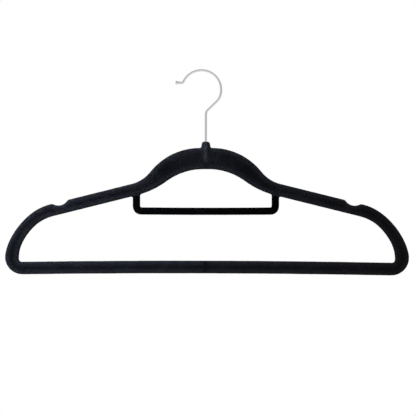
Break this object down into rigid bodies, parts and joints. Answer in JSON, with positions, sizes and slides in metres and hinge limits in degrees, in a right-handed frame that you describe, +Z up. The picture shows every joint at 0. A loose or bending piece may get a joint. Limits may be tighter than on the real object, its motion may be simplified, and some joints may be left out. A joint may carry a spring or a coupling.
{
  "type": "clothes hanger",
  "caption": "Slim velvet-flocked suit hanger with strap notches, drop shoulders, a trouser bar, a tie bar loop and a free-turning wire hook.",
  "frame": {"origin": "the rail seat: the point where the inside of the hook crosses the swivel axis", "axes": "+X along the hanger, with the hook's mouth towards -X; +Y through its thickness, towards the back; +Z up along the swivel axis"},
  "size_m": [0.4448, 0.01, 0.2279],
  "materials": {
    "core_plastic": "black injection-moulded ABS, seen only as a narrow ring at the mouth of the neck",
    "flock": "short upright nylon flock, near black with a cool cast, soft sheen at glancing angles",
    "hook_wire": "bright nickel-chrome plating on drawn steel wire"
  },
  "bodies": {
    "hook": {"swivel_hook": "hook_wire"},
    "frame": {"frame_core": "core_plastic", "velvet_flock": "flock"}
  },
  "joints": [
    {"name": "hook_swivel", "type": "hinge", "parent": "hook", "child": "frame", "pos_m": [0, 0, -0.078], "axis": [0, 0, 1], "continuous": true}
  ]
}
